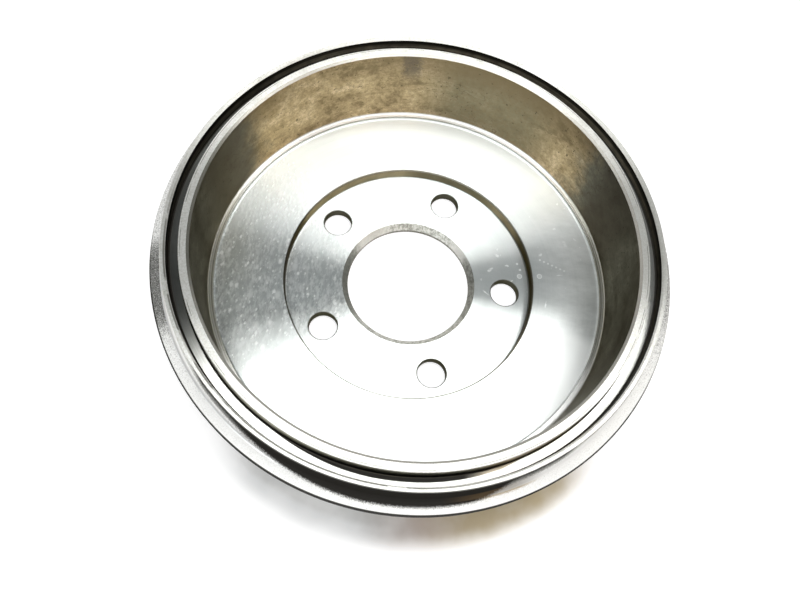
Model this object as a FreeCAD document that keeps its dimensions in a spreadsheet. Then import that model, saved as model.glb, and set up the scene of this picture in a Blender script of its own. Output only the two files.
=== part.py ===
import FreeCAD, Part
import Sketcher
import math
import os

# Brake drum for a car's rear axle: one iron casting that is then turned and drilled.
# It lies with its open mouth up. The origin is the centre of the wheel seat, +Z runs out through the mouth,
# and the first stud hole lies on +X. All sizes are in millimetres.

document = FreeCAD.newDocument("BrakeDrum")

# Driving dimensions

SIZES = [
    # braking ring: the surface that the shoes rub on, and the wall that carries it
    ("friction_diameter", 228.6),
    ("wall_thickness", 6.7),
    ("wall_draft", 0.9),
    ("overall_height", 66.8),
    ("mouth_chamfer", 1.2),
    # stud holes
    ("stud_circle", 114.3),
    ("stud_hole", 16.4),
    ("stud_count", 5),
    ("stud_hole_edge", 0.4),
    # hub end: the recess that the axle flange sits in, its wall set out from the stud circle,
    # and the wheel seat on its back, its rim set out from the recess's wall
    ("hub_floor", 5.4),
    ("recess_margin", 14.85),
    ("recess_depth", 7.6),
    ("recess_edge", 0.7),
    ("seat_margin", 7.0),
    ("seat_height", 5.5),
    ("seat_edge", 1.0),
    ("bore_diameter", 72.0),
    ("bore_chamfer", 3.1),
    ("bore_back_edge", 0.3),
    # narrow ledge where the turned web meets the braking ring
    ("ledge_width", 2.9),
    ("ledge_height", 1.6),
    # open end: inner lip, labyrinth groove, outer lip and the flange below it
    ("inner_lip_width", 5.1),
    ("labyrinth_width", 6.1),
    ("labyrinth_depth", 7.8),
    ("labyrinth_draft", 0.6),
    ("outer_lip_width", 2.7),
    ("outer_lip_draft", 0.8),
    ("outer_lip_chamfer", 0.8),
    ("lip_edge", 0.3),
    ("flange_drop", 13.0),
    ("flange_width", 7.65),
    ("flange_slope", 2.3),
    ("flange_edge", 5.0),
    # rounds
    ("casting_corner", 7.0),
    ("casting_fillet", 4.0),
    ("flange_fillet", 3.5),
    ("flange_round", 0.8),
    ("turned_fillet", 1.1),
    ("groove_fillet", 0.8),
]

sheet = document.addObject("Spreadsheet::Sheet", "Sizes")
for row, (alias, size) in enumerate(SIZES, start=1):
    sheet.set(f"A{row}", alias)
    sheet.set(f"B{row}", str(size))
    sheet.setAlias(f"B{row}", alias)
document.recompute()

# Radii and heights that the sections share, as terms of the sheet

BORE = "Sizes.bore_diameter / 2"
RECESS = "Sizes.stud_circle / 2 + Sizes.recess_margin"
SEAT = f"{RECESS} + Sizes.seat_margin"
FRICTION = "Sizes.friction_diameter / 2"
LEDGE = f"{FRICTION} - Sizes.ledge_width"
WALL_OUTSIDE = f"{FRICTION} + Sizes.wall_thickness"
WALL_ROOT = f"{WALL_OUTSIDE} - Sizes.wall_draft"
INNER_LIP = f"{FRICTION} + Sizes.inner_lip_width"
OUTER_LIP_INSIDE = f"{INNER_LIP} + Sizes.labyrinth_width"
OUTER_LIP = f"{OUTER_LIP_INSIDE} + Sizes.outer_lip_width"
FLANGE_ROOT = f"{OUTER_LIP} + Sizes.outer_lip_draft"
FLANGE_RIM = f"{FLANGE_ROOT} + Sizes.flange_width"

SEAT_FACE = "0"
WEB_BACK = "Sizes.seat_height"
HUB_FLOOR = "Sizes.hub_floor"
WEB_FACE = f"{HUB_FLOOR} + Sizes.recess_depth"
LEDGE_FACE = f"{WEB_FACE} + Sizes.ledge_height"
LIP_FACE = "Sizes.overall_height"
GROOVE_FLOOR = f"{LIP_FACE} - Sizes.labyrinth_depth"
FLANGE_TOP = f"{LIP_FACE} - Sizes.flange_drop"
FLANGE_SHOULDER = f"{FLANGE_TOP} - Sizes.flange_slope"
FLANGE_BACK = f"{FLANGE_SHOULDER} - Sizes.flange_edge"

# Two lengths closer than this are the same

SAME = 0.001

# Half sections: each corner is a name, a radius and a height

CASTING = [
    ("bore_back", BORE, SEAT_FACE),
    ("seat_rim", SEAT, SEAT_FACE),
    ("seat_foot", SEAT, WEB_BACK),
    ("wall_root", WALL_ROOT, WEB_BACK),
    ("flange_throat", WALL_OUTSIDE, FLANGE_BACK),
    ("flange_back_rim", FLANGE_RIM, FLANGE_BACK),
    ("flange_front_rim", FLANGE_RIM, FLANGE_SHOULDER),
    ("lip_foot", FLANGE_ROOT, FLANGE_TOP),
    ("outer_lip_rim", OUTER_LIP, LIP_FACE),
    ("mouth", FRICTION, LIP_FACE),
    ("friction_foot", FRICTION, LEDGE_FACE),
    ("ledge_rim", LEDGE, LEDGE_FACE),
    ("ledge_foot", LEDGE, WEB_FACE),
    ("bore_front", BORE, WEB_FACE),
]

HUB_RECESS = [
    ("recess_bore", BORE, HUB_FLOOR),
    ("recess_foot", RECESS, HUB_FLOOR),
    ("recess_rim", RECESS, WEB_FACE),
    ("recess_mouth", BORE, WEB_FACE),
]

LABYRINTH = [
    ("groove_inner_foot", f"{INNER_LIP} + Sizes.labyrinth_draft", GROOVE_FLOOR),
    ("groove_outer_foot", OUTER_LIP_INSIDE, GROOVE_FLOOR),
    ("groove_outer_rim", OUTER_LIP_INSIDE, LIP_FACE),
    ("groove_inner_rim", INNER_LIP, LIP_FACE),
]

# Sketches


def origin_plane(body, role):
    """One of the body's own origin planes."""
    for feature in body.Origin.OriginFeatures:
        if feature.Role == role:
            return feature
    raise ValueError(f"no origin plane {role}")


def new_sketch(body, name, role):
    """An empty sketch on one of the body's origin planes."""
    sketch = body.newObject("Sketcher::SketchObject", name)
    sketch.AttachmentSupport = (origin_plane(body, role), [""])
    sketch.MapMode = "FlatFace"
    return sketch


def bind(sketch, kind, side, name, term):
    """Distance of a side's first point from the origin, bound to a term of the sheet."""
    index = sketch.addConstraint(Sketcher.Constraint(kind, -1, 1, side, 1, 100.0))
    sketch.renameConstraint(index, name)
    sketch.setExpression(f"Constraints.{name}", term)


def half_section(body, name, corners):
    """Closed half section with straight sides, every corner placed by the sheet."""
    sketch = new_sketch(body, name, "XZ_Plane")
    count = len(corners)
    # The sides start as a ring of chords, and the dimensions then pull them into place.
    turns = [math.tau * k / count for k in range(count + 1)]
    ring = [FreeCAD.Vector(150 + 50 * math.cos(turn), 100 + 50 * math.sin(turn), 0) for turn in turns]
    for side in range(count):
        sketch.addGeometry(Part.LineSegment(ring[side], ring[side + 1]), False)
    for side in range(count):
        sketch.addConstraint(Sketcher.Constraint("Coincident", side, 2, (side + 1) % count, 1))
    for side, (corner, radius, height) in enumerate(corners):
        last_radius, last_height = corners[side - 1][1:]
        if side > 0 and radius == last_radius:
            sketch.addConstraint(Sketcher.Constraint("Vertical", side - 1))
        else:
            bind(sketch, "DistanceX", side, f"{corner}_radius", radius)
        if side > 0 and height == last_height:
            sketch.addConstraint(Sketcher.Constraint("Horizontal", side - 1))
        elif height == SEAT_FACE:
            sketch.addConstraint(Sketcher.Constraint("PointOnObject", side, 1, -1))
        else:
            bind(sketch, "DistanceY", side, f"{corner}_height", height)
    document.recompute()
    return sketch


# Features


def turn(body, kind, name, sketch):
    """Full turn of a half section about the drum's axis: a Revolution adds metal, a Groove takes it away."""
    feature = body.newObject(f"PartDesign::{kind}", name)
    feature.Profile = sketch
    feature.ReferenceAxis = (sketch, ["V_Axis"])
    feature.Angle = 360.0
    sketch.Visibility = False
    document.recompute()
    return feature


def drill_stud_holes(body):
    """Through holes on the stud circle, drilled from the wheel seat."""
    sketch = new_sketch(body, "stud_hole_section", "XY_Plane")
    # The circle starts anywhere on +X, and the two dimensions then pull it into place.
    hole_edge = Part.Circle(FreeCAD.Vector(60, 0, 0), FreeCAD.Vector(0, 0, 1), 10)
    sketch.addGeometry(hole_edge, False)
    sketch.addConstraint(Sketcher.Constraint("PointOnObject", 0, 3, -1))
    reach = sketch.addConstraint(Sketcher.Constraint("DistanceX", -1, 1, 0, 3, 60.0))
    sketch.renameConstraint(reach, "reach")
    sketch.setExpression("Constraints.reach", "Sizes.stud_circle / 2")
    width = sketch.addConstraint(Sketcher.Constraint("Diameter", 0, 20.0))
    sketch.renameConstraint(width, "width")
    sketch.setExpression("Constraints.width", "Sizes.stud_hole")
    document.recompute()

    hole = body.newObject("PartDesign::Hole", "stud_hole_drilled")
    hole.Profile = sketch
    document.recompute()
    hole.Threaded = False
    hole.DepthType = "ThroughAll"
    hole.Reversed = True
    hole.setExpression("Diameter", "Sizes.stud_hole")
    sketch.Visibility = False
    document.recompute()

    pattern = body.newObject("PartDesign::PolarPattern", "stud_holes")
    pattern.Originals = [hole]
    pattern.Axis = (sketch, ["N_Axis"])
    pattern.Angle = 360.0
    pattern.setExpression("Occurrences", "Sizes.stud_count")
    body.Tip = pattern
    document.recompute()
    return pattern


def ring_edge(shape, sketch, corners, corner):
    """Name of the circular edge that a corner of a half section sweeps out."""
    side = [entry[0] for entry in corners].index(corner)
    point = sketch.getPoint(side, 1)
    centre = FreeCAD.Vector(0, 0, point.y)
    for number, edge in enumerate(shape.Edges, start=1):
        curve = edge.Curve
        if not isinstance(curve, Part.Circle):
            continue
        if abs(curve.Radius - point.x) < SAME and curve.Center.distanceToPoint(centre) < SAME:
            return f"Edge{number}"
    raise ValueError(f"no edge at corner {corner}")


def stud_hole_edges(shape):
    """Names of the circular edges where the stud holes open into the hub recess."""
    radius = float(sheet.get("stud_hole")) / 2
    height = float(sheet.get("hub_floor"))
    names = []
    for number, edge in enumerate(shape.Edges, start=1):
        curve = edge.Curve
        if not isinstance(curve, Part.Circle):
            continue
        if abs(curve.Radius - radius) < SAME and abs(curve.Center.z - height) < SAME:
            names.append(f"Edge{number}")
    if len(names) != int(sheet.get("stud_count")):
        raise ValueError("not every stud hole has an edge in the hub recess")
    return names


def ease_edges(body, kind, name, size, names):
    """Fillet or chamfer of one size along named edges of the body as it stands."""
    last = body.Tip
    feature = body.newObject(f"PartDesign::{kind}", name)
    feature.Base = (last, names)
    feature.setExpression("Radius" if kind == "Fillet" else "Size", size)
    document.recompute()
    return feature


def ease(body, kind, name, size, sketch, corners, chosen):
    """Fillet or chamfer of one size along the edges at the chosen corners."""
    names = [ring_edge(body.Tip.Shape, sketch, corners, corner) for corner in chosen]
    return ease_edges(body, kind, name, size, names)


def checked_cut(body, before):
    """A cut has to take metal away."""
    after = body.Shape.Volume
    if after > before - 1.0:
        raise ValueError("a cut took nothing away")
    return after


# The drum

drum = document.addObject("PartDesign::Body", "brake_drum")
drum.Label = "brake_drum"

casting = half_section(drum, "casting_section", CASTING)
turn(drum, "Revolution", "casting", casting)
metal = drum.Shape.Volume

recess = half_section(drum, "recess_section", HUB_RECESS)
turn(drum, "Groove", "hub_recess", recess)
metal = checked_cut(drum, metal)

labyrinth = half_section(drum, "labyrinth_section", LABYRINTH)
turn(drum, "Groove", "labyrinth_groove", labyrinth)
metal = checked_cut(drum, metal)

drill_stud_holes(drum)
metal = checked_cut(drum, metal)
ease_edges(drum, "Chamfer", "stud_hole_edges", "Sizes.stud_hole_edge", stud_hole_edges(drum.Shape))

# Cast corners on the outside
ease(drum, "Fillet", "outer_corner", "Sizes.casting_corner", casting, CASTING, ["wall_root"])
ease(drum, "Fillet", "cast_fillets", "Sizes.casting_fillet", casting, CASTING, ["seat_foot", "flange_throat"])
ease(drum, "Fillet", "flange_foot", "Sizes.flange_fillet", casting, CASTING, ["lip_foot"])
ease(drum, "Fillet", "flange_rims", "Sizes.flange_round", casting, CASTING,
     ["flange_back_rim", "flange_front_rim"])

# Turned corners and edges
ease(drum, "Fillet", "web_corners", "Sizes.turned_fillet", casting, CASTING, ["friction_foot", "ledge_foot"])
ease(drum, "Fillet", "recess_corner", "Sizes.groove_fillet", recess, HUB_RECESS, ["recess_foot"])
ease(drum, "Fillet", "groove_corners", "Sizes.groove_fillet", labyrinth, LABYRINTH,
     ["groove_inner_foot", "groove_outer_foot"])
ease(drum, "Chamfer", "mouth_edge", "Sizes.mouth_chamfer", casting, CASTING, ["mouth"])
ease(drum, "Chamfer", "outer_lip_inside_edge", "Sizes.outer_lip_chamfer", labyrinth, LABYRINTH,
     ["groove_outer_rim"])
ease(drum, "Chamfer", "inner_lip_edge", "Sizes.lip_edge", labyrinth, LABYRINTH, ["groove_inner_rim"])
ease(drum, "Chamfer", "outer_lip_edge", "Sizes.lip_edge", casting, CASTING, ["outer_lip_rim"])
ease(drum, "Chamfer", "recess_front_edge", "Sizes.recess_edge", recess, HUB_RECESS, ["recess_rim"])
ease(drum, "Chamfer", "bore_front_edge", "Sizes.bore_chamfer", recess, HUB_RECESS, ["recess_bore"])
ease(drum, "Chamfer", "bore_rear_edge", "Sizes.bore_back_edge", casting, CASTING, ["bore_back"])
ease(drum, "Chamfer", "seat_outer_edge", "Sizes.seat_edge", casting, CASTING, ["seat_rim"])

drum.Placement = FreeCAD.Placement()
document.recompute()

# Checks, then the file

for item in document.Objects:
    if "Invalid" in item.State or "Error" in item.State:
        raise RuntimeError(f"{item.Name} failed: {item.State}")

if drum.Shape.isNull() or not drum.Shape.isValid() or len(drum.Shape.Solids) != 1:
    raise RuntimeError("the drum is not one valid solid")

os.makedirs("parts", exist_ok=True)
drum.Shape.exportStep(f"parts/{drum.Label}.step")
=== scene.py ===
import bpy
import math
from mathutils import Matrix, Vector
from mathutils.geometry import tessellate_polygon


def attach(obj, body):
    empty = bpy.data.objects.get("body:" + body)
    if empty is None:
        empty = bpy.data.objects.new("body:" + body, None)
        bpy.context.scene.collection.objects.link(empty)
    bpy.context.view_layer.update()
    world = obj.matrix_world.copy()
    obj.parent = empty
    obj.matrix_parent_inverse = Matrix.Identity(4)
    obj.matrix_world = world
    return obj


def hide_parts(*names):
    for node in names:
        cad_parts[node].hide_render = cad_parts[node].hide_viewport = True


# Brake drum lying with its mouth up. The casting is one turned surface with a material for each zone.
# Lengths of the section and of its marks are in millimetres, and the built objects are in metres.

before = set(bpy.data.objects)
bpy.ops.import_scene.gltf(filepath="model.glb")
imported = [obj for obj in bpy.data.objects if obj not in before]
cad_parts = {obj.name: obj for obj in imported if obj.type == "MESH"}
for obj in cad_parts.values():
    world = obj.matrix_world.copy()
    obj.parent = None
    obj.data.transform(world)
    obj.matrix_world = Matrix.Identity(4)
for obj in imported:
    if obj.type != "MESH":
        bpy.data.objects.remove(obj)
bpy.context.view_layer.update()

MM = 0.001

# Sizes of the casting

FRICTION = 114.3
WALL_OUTSIDE = FRICTION + 6.7
WALL_ROOT = WALL_OUTSIDE - 0.9
OVERALL_HEIGHT = 66.8
MOUTH_CHAMFER = 1.2

STUD_CIRCLE = 57.15
STUD_HOLE = 8.2
STUD_COUNT = 5
STUD_HOLE_EDGE = 0.4

HUB_FLOOR = 5.4
WEB_FACE = HUB_FLOOR + 7.6
RECESS = STUD_CIRCLE + 14.85
RECESS_EDGE = 0.7
SEAT = RECESS + 7.0
SEAT_HEIGHT = 5.5
SEAT_EDGE = 1.0
BORE = 36.0
BORE_CHAMFER = 3.1
BORE_BACK_EDGE = 0.3

LEDGE = FRICTION - 2.9
LEDGE_FACE = WEB_FACE + 1.6

INNER_LIP = FRICTION + 5.1
GROOVE_OUTSIDE = INNER_LIP + 6.1
GROOVE_FLOOR = OVERALL_HEIGHT - 7.8
GROOVE_DRAFT = 0.6
OUTER_LIP = GROOVE_OUTSIDE + 2.7
OUTER_LIP_CHAMFER = 0.8
LIP_EDGE = 0.3

FLANGE_ROOT = OUTER_LIP + 0.8
FLANGE_RIM = FLANGE_ROOT + 7.65
FLANGE_TOP = OVERALL_HEIGHT - 13.0
FLANGE_SHOULDER = FLANGE_TOP - 2.3
FLANGE_BACK = FLANGE_SHOULDER - 5.0

CAST_CORNER = 7.0
CAST_FILLET = 4.0
FLANGE_FILLET = 3.5
FLANGE_ROUND = 0.8
TURNED_FILLET = 1.1
GROOVE_FILLET = 0.8
EDGE_BREAK = 0.12

ROUND_STEPS = 360
HOLE_STEPS = 80

# The section, anticlockwise from the bore's back edge: radius, height, round, and the zone from there on

SECTION = [
    (BORE + BORE_BACK_EDGE, 0.0, EDGE_BREAK, "wheel_seat"),
    (SEAT - SEAT_EDGE, 0.0, EDGE_BREAK, "wheel_seat"),
    (SEAT, SEAT_EDGE, EDGE_BREAK, "cast_skin"),
    (SEAT, SEAT_HEIGHT, CAST_FILLET, "cast_skin"),
    (WALL_ROOT, SEAT_HEIGHT, CAST_CORNER, "cast_skin"),
    (WALL_OUTSIDE, FLANGE_BACK, CAST_FILLET, "cast_skin"),
    (FLANGE_RIM, FLANGE_BACK, FLANGE_ROUND, "flange_rim"),
    (FLANGE_RIM, FLANGE_SHOULDER, FLANGE_ROUND, "flange"),
    (FLANGE_ROOT, FLANGE_TOP, FLANGE_FILLET, "outer_lip_side"),
    (OUTER_LIP, OVERALL_HEIGHT - LIP_EDGE, EDGE_BREAK, "lips"),
    (OUTER_LIP - LIP_EDGE, OVERALL_HEIGHT, EDGE_BREAK, "lips"),
    (GROOVE_OUTSIDE + OUTER_LIP_CHAMFER, OVERALL_HEIGHT, EDGE_BREAK, "lips"),
    (GROOVE_OUTSIDE, OVERALL_HEIGHT - OUTER_LIP_CHAMFER, EDGE_BREAK, "groove_outside"),
    (GROOVE_OUTSIDE, GROOVE_FLOOR, GROOVE_FILLET, "groove_floor"),
    (INNER_LIP + GROOVE_DRAFT, GROOVE_FLOOR, GROOVE_FILLET, "groove_inside"),
    (INNER_LIP, OVERALL_HEIGHT - LIP_EDGE, EDGE_BREAK, "lips"),
    (INNER_LIP - LIP_EDGE, OVERALL_HEIGHT, EDGE_BREAK, "lips"),
    (FRICTION + MOUTH_CHAMFER, OVERALL_HEIGHT, EDGE_BREAK, "mouth_chamfer"),
    (FRICTION, OVERALL_HEIGHT - MOUTH_CHAMFER, EDGE_BREAK, "friction_wall"),
    (FRICTION, LEDGE_FACE, TURNED_FILLET, "ledge"),
    (LEDGE, LEDGE_FACE, EDGE_BREAK, "ledge_step"),
    (LEDGE, WEB_FACE, TURNED_FILLET, "web"),
    (RECESS + RECESS_EDGE, WEB_FACE, EDGE_BREAK, "recess_edge"),
    (RECESS, WEB_FACE - RECESS_EDGE, EDGE_BREAK, "recess_wall"),
    (RECESS, HUB_FLOOR, GROOVE_FILLET, "hub_floor"),
    (BORE + BORE_CHAMFER, HUB_FLOOR, EDGE_BREAK, "bore"),
    (BORE, HUB_FLOOR - BORE_CHAMFER, EDGE_BREAK, "bore"),
    (BORE, BORE_BACK_EDGE, EDGE_BREAK, "bore"),
]

STUD_HOLE_SECTION = [
    (STUD_HOLE + STUD_HOLE_EDGE, HUB_FLOOR, 0.0, "stud_holes"),
    (STUD_HOLE, HUB_FLOOR - STUD_HOLE_EDGE, EDGE_BREAK, "stud_holes"),
    (STUD_HOLE, 0.0, EDGE_BREAK * 2, "stud_holes"),
    (STUD_HOLE + EDGE_BREAK * 2, 0.0, 0.0, "stud_holes"),
]


# Turned surface


def rounded(before, corner, after, radius):
    """Points and outward normals of the arc that rounds one corner of a section."""
    coming = (corner - before).normalized()
    going = (after - corner).normalized()
    turn = math.atan2(coming.cross(going), coming.dot(going))
    start = corner - coming * radius * math.tan(abs(turn) / 2)
    side = math.copysign(1.0, turn)
    centre = start + Vector((-coming.y, coming.x)) * radius * side
    steps = 2 if radius < 0.5 else 5 + round(radius)
    for step in range(steps + 1):
        arm = (start - centre).copy()
        arm.rotate(Matrix.Rotation(turn * step / steps, 2))
        yield centre + arm, arm.normalized() * side


def outline(section, closed):
    """The section's points, each with its outward normal and the zone that starts there."""
    corners = [Vector(entry[:2]) for entry in section]
    points = []
    for index, (radius, height, size, zone) in enumerate(section):
        corner = corners[index]
        if size == 0.0:
            points.append((corner, Vector((0.0, 1.0 if height > 0 else -1.0)), zone))
            continue
        before = corners[index - 1]
        after = corners[(index + 1) % len(corners)]
        for place, normal in rounded(before, corner, after, size):
            points.append((place, normal, zone))
    if closed:
        points.append(points[0])
    return points


class Casting:
    """Vertices with their normals, and faces with their zones."""

    def __init__(self):
        self.places, self.normals, self.faces, self.zones = [], [], [], []

    def ring(self, centre, place, normal, steps):
        """One circle of vertices round an upright axis through centre."""
        first = len(self.places)
        for step in range(steps):
            turn = math.tau * step / steps
            out = Vector((math.cos(turn), math.sin(turn), 0.0))
            self.places.append((centre + out * place.x + Vector((0, 0, place.y))) * MM)
            self.normals.append(out * normal.x + Vector((0, 0, normal.y)))
        return list(range(first, first + steps))

    def strip(self, lower, upper, zone):
        """Faces between two circles of the same number of vertices."""
        count = len(lower)
        for step in range(count):
            after = (step + 1) % count
            self.faces.append((lower[step], lower[after], upper[after], upper[step]))
            self.zones.append(zone)

    def plate(self, loops, zone, up):
        """A flat face between an outer circle and the circles cut out of it."""
        numbers = [number for loop in loops for number in loop]
        for triangle in tessellate_polygon([[self.places[number] for number in loop] for loop in loops]):
            face = [numbers[corner] for corner in triangle]
            a, b, c = (self.places[number] for number in face)
            if ((b - a).cross(c - a).z > 0) != up:
                face.reverse()
            self.faces.append(face)
            self.zones.append(zone)

    def turned(self, section, centre, steps, closed, drilled=()):
        """Revolves a section. Returns its first and last circle and the strips left open for drilling."""
        points = outline(section, closed)
        own = points[:-1] if closed else points
        circles = [self.ring(centre, place, normal, steps) for place, normal, _ in own]
        if closed:
            circles.append(circles[0])
        left_open = {}
        for index, (place, _, zone) in enumerate(points[:-1]):
            width = abs(points[index + 1][0].x - place.x)
            if zone in drilled and width > 2 * STUD_HOLE:
                pair = (circles[index], circles[index + 1])
                left_open[zone] = sorted(pair, key=lambda loop: self.places[loop[0]].x)
                continue
            self.strip(circles[index], circles[index + 1], zone)
        return circles[0], circles[-1], left_open


def build_casting():
    """The whole drum, with its stud holes, as one mesh."""
    casting = Casting()
    axis = Vector((0.0, 0.0, 0.0))
    _, _, left_open = casting.turned(SECTION, axis, ROUND_STEPS, True, ("wheel_seat", "hub_floor"))
    tops, bottoms = [], []
    for hole in range(STUD_COUNT):
        turn = math.tau * hole / STUD_COUNT
        centre = Vector((math.cos(turn), math.sin(turn), 0.0)) * STUD_CIRCLE
        top, bottom, _ = casting.turned(STUD_HOLE_SECTION, centre, HOLE_STEPS, False)
        tops.append(top)
        bottoms.append(bottom)
    for zone, cuts, up in (("hub_floor", tops, True), ("wheel_seat", bottoms, False)):
        inner, outer = left_open[zone]
        casting.plate([outer, inner] + cuts, zone, up)
    return casting


def mesh_object(name, casting, materials):
    """A mesh object with a material slot for each zone and the section's own normals."""
    mesh = bpy.data.meshes.new(name)
    mesh.from_pydata([tuple(place) for place in casting.places], [], casting.faces)
    zones = list(materials)
    for zone in zones:
        mesh.materials.append(materials[zone])
    mesh.polygons.foreach_set("material_index", [zones.index(zone) for zone in casting.zones])
    mesh.polygons.foreach_set("use_smooth", [True] * len(mesh.polygons))
    mesh.normals_split_custom_set_from_vertices([tuple(normal) for normal in casting.normals])
    thing = bpy.data.objects.new(name, mesh)
    bpy.context.scene.collection.objects.link(thing)
    return thing


# Materials


class Paint:
    """One material's nodes. Positions are the object's own, in millimetres."""

    def __init__(self, name):
        self.material = bpy.data.materials.new(name)
        self.material.use_nodes = True
        self.tree = self.material.node_tree
        self.tree.nodes.clear()
        self.output = self.node("ShaderNodeOutputMaterial")
        self.shader = self.node("ShaderNodeBsdfPrincipled")
        self.join(self.shader.outputs["BSDF"], self.output.inputs["Surface"])
        coordinates = self.node("ShaderNodeTexCoord")
        scaled = self.node("ShaderNodeVectorMath", operation="SCALE")
        self.join(coordinates.outputs["Object"], scaled.inputs[0])
        scaled.inputs["Scale"].default_value = 1 / MM
        self.place = scaled.outputs["Vector"]
        split = self.node("ShaderNodeSeparateXYZ")
        self.join(self.place, split.inputs["Vector"])
        self.x, self.y, self.z = split.outputs
        self.radius = self.away(0.0, 0.0)

    def node(self, kind, **settings):
        made = self.tree.nodes.new(kind)
        for key, value in settings.items():
            setattr(made, key, value)
        return made

    def join(self, value, socket):
        """Links a socket, or sets it to a plain number or colour."""
        if isinstance(value, bpy.types.NodeSocket):
            self.tree.links.new(value, socket)
        else:
            socket.default_value = value

    def calc(self, operation, *values, clamp=False):
        made = self.node("ShaderNodeMath", operation=operation, use_clamp=clamp)
        for value, socket in zip(values, made.inputs):
            self.join(value, socket)
        return made.outputs["Value"]

    def times(self, *values):
        """Product of several values."""
        product = values[0]
        for value in values[1:]:
            product = self.calc("MULTIPLY", product, value)
        return product

    def most(self, *values):
        """Greatest of several values."""
        greatest = values[0]
        for value in values[1:]:
            greatest = self.calc("MAXIMUM", greatest, value)
        return greatest

    def rest(self, share):
        """What a share leaves of 1."""
        return self.calc("SUBTRACT", 1.0, share)

    def off(self, value, place):
        """How far a value is from a place, either way."""
        return self.calc("ABSOLUTE", self.calc("SUBTRACT", value, place))

    def away(self, x, y):
        """Distance from the upright line at x and y."""
        across = self.calc("POWER", self.calc("SUBTRACT", self.x, x), 2)
        along = self.calc("POWER", self.calc("SUBTRACT", self.y, y), 2)
        return self.calc("SQRT", self.calc("ADD", across, along))

    def facing(self, azimuth):
        """Cosine of the angle between the place's direction from the axis and an azimuth in degrees."""
        along = self.calc("MULTIPLY", self.x, math.cos(math.radians(azimuth)))
        along = self.calc("MULTIPLY_ADD", self.y, math.sin(math.radians(azimuth)), along)
        return self.calc("DIVIDE", along, self.radius)

    def side(self, azimuth, reach, fade):
        """1 within reach degrees of an azimuth, and less over fade degrees more, down to 0."""
        turned = self.calc("MULTIPLY", self.calc("ARCCOSINE", self.facing(azimuth)), 180 / math.pi)
        return self.step(turned, reach, reach + fade, 1.0, 0.0)

    def vector(self, x, y, z):
        made = self.node("ShaderNodeCombineXYZ")
        for value, socket in zip((x, y, z), made.inputs):
            self.join(value, socket)
        return made.outputs["Vector"]

    def noise(self, vector, scale, detail=4.0, roughness=0.55, distortion=0.0):
        made = self.node("ShaderNodeTexNoise")
        self.join(vector, made.inputs["Vector"])
        made.inputs["Scale"].default_value = scale
        made.inputs["Detail"].default_value = detail
        made.inputs["Roughness"].default_value = roughness
        made.inputs["Distortion"].default_value = distortion
        return made.outputs["Fac"]

    def rings(self, across, around=0.02, along=None):
        """Noise drawn out round the axis, as by a turning tool. It varies with the radius or with along."""
        stretched = self.vector(
            self.calc("MULTIPLY", self.x, around),
            self.calc("MULTIPLY", self.y, around),
            self.calc("MULTIPLY", self.radius if along is None else along, across),
        )
        return self.noise(stretched, 1.0, 3.0)

    def stretched(self, x, y, z):
        """The place with each of its axes scaled."""
        made = self.node("ShaderNodeVectorMath", operation="MULTIPLY")
        self.join(self.place, made.inputs[0])
        made.inputs[1].default_value = (x, y, z)
        return made.outputs["Vector"]

    def cells(self, vector, scale):
        """Distance to the nearest of many scattered points, and two random numbers for that point."""
        made = self.node("ShaderNodeTexVoronoi", feature="F1")
        self.join(vector, made.inputs["Vector"])
        made.inputs["Scale"].default_value = scale
        split = self.node("ShaderNodeSeparateColor")
        self.join(made.outputs["Color"], split.inputs["Color"])
        return made.outputs["Distance"], split.outputs[0], split.outputs[1]

    def step(self, value, low, high, to_low=0.0, to_high=1.0):
        """Smooth change of a value from to_low at low to to_high at high."""
        made = self.node("ShaderNodeMapRange", interpolation_type="SMOOTHSTEP")
        for number, socket in zip((value, low, high, to_low, to_high), made.inputs):
            self.join(number, socket)
        return made.outputs["Result"]

    def blend(self, factor, first, second):
        """Colour that goes from first to second."""
        made = self.node("ShaderNodeMix", data_type="RGBA")
        sockets = [socket for socket in made.inputs if socket.enabled]
        for value, socket in zip((factor, first, second), sockets):
            self.join(value, socket)
        return [socket for socket in made.outputs if socket.enabled][0]

    def bump(self, height, distance, under=None):
        """Relief from a height of 0 to 1, over distance in millimetres."""
        made = self.node("ShaderNodeBump")
        made.inputs["Strength"].default_value = 1.0
        made.inputs["Distance"].default_value = distance * MM
        self.join(height, made.inputs["Height"])
        if under is not None:
            self.join(under, made.inputs["Normal"])
        return made.outputs["Normal"]

    def finish(self, tint, roughness, normal=None, metallic=1.0):
        """Sets the shader."""
        self.join(tint, self.shader.inputs["Base Color"])
        self.join(roughness, self.shader.inputs["Roughness"])
        self.join(metallic, self.shader.inputs["Metallic"])
        if normal is not None:
            self.join(normal, self.shader.inputs["Normal"])
        return self.material

    def dull_where_black(self, black, metallic):
        """Takes the metal and the gloss away where a surface is painted black. Returns the metal left."""
        clean = self.rest(black)
        self.join(self.calc("MULTIPLY", clean, 0.5), self.shader.inputs["Specular IOR Level"])
        return self.calc("MULTIPLY", clean, metallic)

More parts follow.
